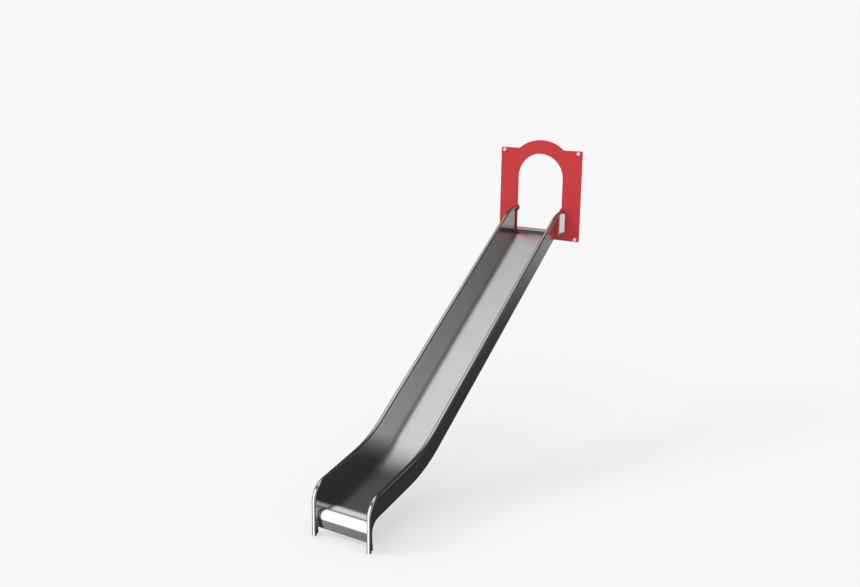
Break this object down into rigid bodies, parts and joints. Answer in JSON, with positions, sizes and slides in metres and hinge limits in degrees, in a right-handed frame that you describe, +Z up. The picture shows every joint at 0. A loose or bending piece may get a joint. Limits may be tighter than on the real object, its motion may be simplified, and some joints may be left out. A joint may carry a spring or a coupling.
{
  "type": "straight slide",
  "caption": "Straight steel playground slide: open chute with tube rails, rounded exit on two legs, and an arched entry panel at the top.",
  "frame": {"origin": "on the ground, midway across the slide and midway between the ends of the object's length", "axes": "+Y from the exit back to the entry panel, +X across the slide, to the left of someone who sits on it, +Z up"},
  "size_m": [0.914, 3.7744, 2.9499],
  "materials": {
    "steel_sheet": "bright, finely brushed stainless sheet",
    "steel_tube": "bright, finely brushed stainless tube",
    "inner_steel": "plain mill-finish stainless",
    "zinc_steel": "satin stainless fasteners",
    "red_panel": "satin, very fine grain",
    "white_plastic": "semi-gloss"
  },
  "bodies": {
    "root": {"entry_panel": "red_panel", "panel_bolts": "zinc_steel", "panel_bolt_washers": "white_plastic", "panel_bolt_caps": "white_plastic", "top_flange": "steel_sheet", "flange_studs": "zinc_steel", "flange_washers": "zinc_steel", "flange_cap_nuts": "zinc_steel", "slide_bed": "steel_sheet", "exit_bed": "steel_sheet", "exit_nose": "steel_sheet", "left_side_sheet": "steel_sheet", "right_side_sheet": "steel_sheet", "left_exit_sheet": "steel_sheet", "right_exit_sheet": "steel_sheet", "left_rail": "steel_tube", "right_rail": "steel_tube", "rail_top_plugs": "steel_tube", "leg_plugs": "steel_tube", "bed_ribs": "inner_steel", "exit_ribs": "inner_steel", "seam_strap": "inner_steel"}
  },
  "joints": []
}
